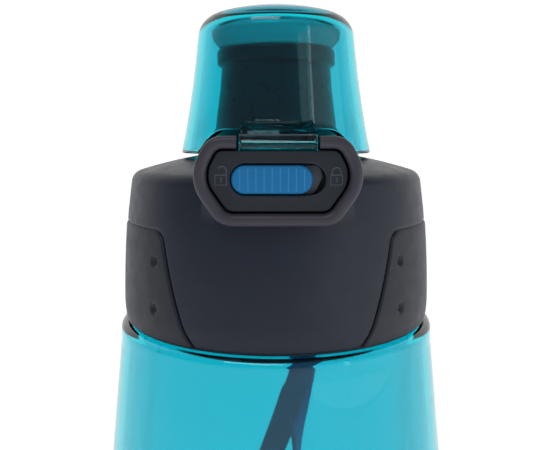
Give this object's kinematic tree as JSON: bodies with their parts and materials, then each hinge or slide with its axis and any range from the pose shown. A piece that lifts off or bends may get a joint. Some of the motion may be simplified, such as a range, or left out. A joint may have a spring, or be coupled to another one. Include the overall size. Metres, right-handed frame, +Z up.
{
  "type": "sports water bottle",
  "caption": "Sports bottle with a screw-on lid, flip-up spout cap, push-button latch with sliding lock, and a carry strap behind.",
  "frame": {"origin": "middle of the base, on the plane the bottle stands on", "axes": "+Z up along the bottle, -Y towards the latch at the front, +X to the right seen from the front"},
  "size_m": [0.0812, 0.0908, 0.2604],
  "materials": {
    "clear_teal": "clear tinted copolyester, gloss",
    "seal_teal": "cloudy tinted silicone",
    "charcoal": "fine satin",
    "warm_grey": "fine satin",
    "lock_blue": "satin",
    "silicone": "soft",
    "steel": "drawn wire",
    "webbing": "woven"
  },
  "bodies": {
    "bottle": {"bottle_body": "clear_teal"},
    "seal": {"lid_gasket": "silicone"},
    "lid": {"lid_shell": "charcoal", "thread_insert": "charcoal", "spout": "charcoal", "spout_gasket": "silicone", "latch_bezel": "warm_grey", "side_grip_left": "charcoal", "side_grip_right": "charcoal", "hinge_pin": "steel", "cap_spring": "steel", "strap_bar": "steel"},
    "cap": {"flip_cap": "clear_teal", "cap_seal": "seal_teal"},
    "button": {"release_button": "charcoal", "latch_slide": "charcoal", "button_springs": "steel"},
    "lock": {"lock_slider": "lock_blue"},
    "strap": {"carry_strap": "webbing"}
  },
  "joints": [
    {"name": "lid_rise", "type": "slide", "parent": "bottle", "child": "seal", "axis": [0, 0, 1], "range_m": [0, 0.0075]},
    {"name": "lid_unscrew", "type": "hinge", "parent": "seal", "child": "lid", "pos_m": [0, 0, 0.2], "axis": [0, 0, 1], "range_deg": [0, 540]},
    {"name": "cap_flip", "type": "hinge", "parent": "lid", "child": "cap", "pos_m": [0, 0.0275, 0.231], "axis": [-1, 0, 0], "range_deg": [0, 140], "deforming": ["cap_spring"]},
    {"name": "button_press", "type": "slide", "parent": "lid", "child": "button", "axis": [0, -1, 0], "range_m": [-0.0018, 0], "stiffness_N_per_m": 600, "springref_m": 0.001, "deforming": ["button_springs"]},
    {"name": "lock_slide", "type": "slide", "parent": "button", "child": "lock", "axis": [1, 0, 0], "range_m": [0, 0.0022]},
    {"name": "strap_swing", "type": "hinge", "parent": "lid", "child": "strap", "pos_m": [0, 0.0386, 0.203], "axis": [1, 0, 0], "range_deg": [0, 80]}
  ],
  "couplings": [
    {"joint": "lid_rise", "follows": "lid_unscrew", "m_per_rad": 0.00079577}
  ]
}
